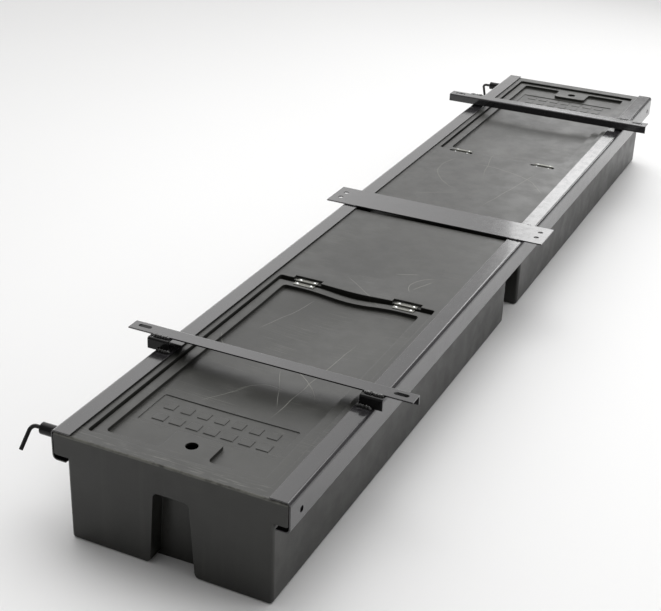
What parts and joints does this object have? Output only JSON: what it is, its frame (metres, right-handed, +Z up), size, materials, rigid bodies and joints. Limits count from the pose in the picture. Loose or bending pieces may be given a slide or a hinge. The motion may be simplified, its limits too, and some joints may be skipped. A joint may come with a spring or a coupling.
{
  "type": "under-chassis slide-out storage unit",
  "caption": "Low storage unit for under a vehicle floor: steel channel rails with cross members carry moulded trays that slide out at either end, each with a hinged lid and a pull pin.",
  "frame": {"origin": "centre of the centre plate's top face, on the line of its four holes' middle", "axes": "+X across the rails towards the rail without pull pins, +Y along the rails towards the rear tray, +Z up, out of the centre plate's top face"},
  "size_m": [0.641, 2.591, 0.2545],
  "materials": {
    "frame_paint": "gloss black paint",
    "weld_paint": "gloss black paint over weld",
    "pin_steel": "black, lightly worn",
    "tray_plastic": "satin moulded, scuffed",
    "lid_plastic": "satin moulded, scratched",
    "hinge_zinc": "bright zinc plate"
  },
  "bodies": {
    "fixed_frame": {"left_rail_top_flange": "frame_paint", "left_rail_web": "frame_paint", "left_rail_corner": "frame_paint", "left_rail_foot": "frame_paint", "right_rail_top_flange": "frame_paint", "right_rail_web": "frame_paint", "right_rail_corner": "frame_paint", "right_rail_foot": "frame_paint", "front_cross_bar": "frame_paint", "rear_cross_bar": "frame_paint", "centre_plate": "frame_paint", "front_left_bracket": "frame_paint", "front_right_bracket": "frame_paint", "rear_left_bracket": "frame_paint", "rear_right_bracket": "frame_paint", "front_welds": "weld_paint", "centre_welds": "weld_paint", "rear_welds": "weld_paint", "front_pin_barrel": "frame_paint", "rear_pin_barrel": "frame_paint"},
    "front_tray_unit": {"front_tray": "tray_plastic", "front_left_hinge_tray_leaf": "hinge_zinc", "front_left_hinge_pin": "hinge_zinc", "front_right_hinge_tray_leaf": "hinge_zinc", "front_right_hinge_pin": "hinge_zinc", "front_tray_rivets": "hinge_zinc"},
    "rear_tray_unit": {"rear_tray": "tray_plastic", "rear_left_hinge_tray_leaf": "hinge_zinc", "rear_left_hinge_pin": "hinge_zinc", "rear_right_hinge_tray_leaf": "hinge_zinc", "rear_right_hinge_pin": "hinge_zinc", "rear_tray_rivets": "hinge_zinc"},
    "front_lid_unit": {"front_lid": "lid_plastic", "front_left_hinge_lid_leaf": "hinge_zinc", "front_right_hinge_lid_leaf": "hinge_zinc", "front_lid_rivets": "hinge_zinc"},
    "rear_lid_unit": {"rear_lid": "lid_plastic", "rear_left_hinge_lid_leaf": "hinge_zinc", "rear_right_hinge_lid_leaf": "hinge_zinc", "rear_lid_rivets": "hinge_zinc"},
    "front_pin_unit": {"front_pull_pin": "pin_steel"},
    "rear_pin_unit": {"rear_pull_pin": "pin_steel"}
  },
  "joints": [
    {"name": "front_tray_slide", "type": "slide", "parent": "fixed_frame", "child": "front_tray_unit", "axis": [0, -1, 0], "range_m": [0, 0.74]},
    {"name": "rear_tray_slide", "type": "slide", "parent": "fixed_frame", "child": "rear_tray_unit", "axis": [0, 1, 0], "range_m": [0, 0.74]},
    {"name": "front_lid_hinge", "type": "hinge", "parent": "front_tray_unit", "child": "front_lid_unit", "pos_m": [0, -0.5065, -0.0103], "axis": [-1, 0, 0], "range_deg": [0, 2.1]},
    {"name": "rear_lid_hinge", "type": "hinge", "parent": "rear_tray_unit", "child": "rear_lid_unit", "pos_m": [0, 0.5065, -0.0103], "axis": [1, 0, 0], "range_deg": [0, 2.1]},
    {"name": "front_pin_slide", "type": "slide", "parent": "fixed_frame", "child": "front_pin_unit", "axis": [1, 0, 0], "range_m": [0, 0.012]},
    {"name": "rear_pin_slide", "type": "slide", "parent": "fixed_frame", "child": "rear_pin_unit", "axis": [1, 0, 0], "range_m": [0, 0.012]}
  ]
}
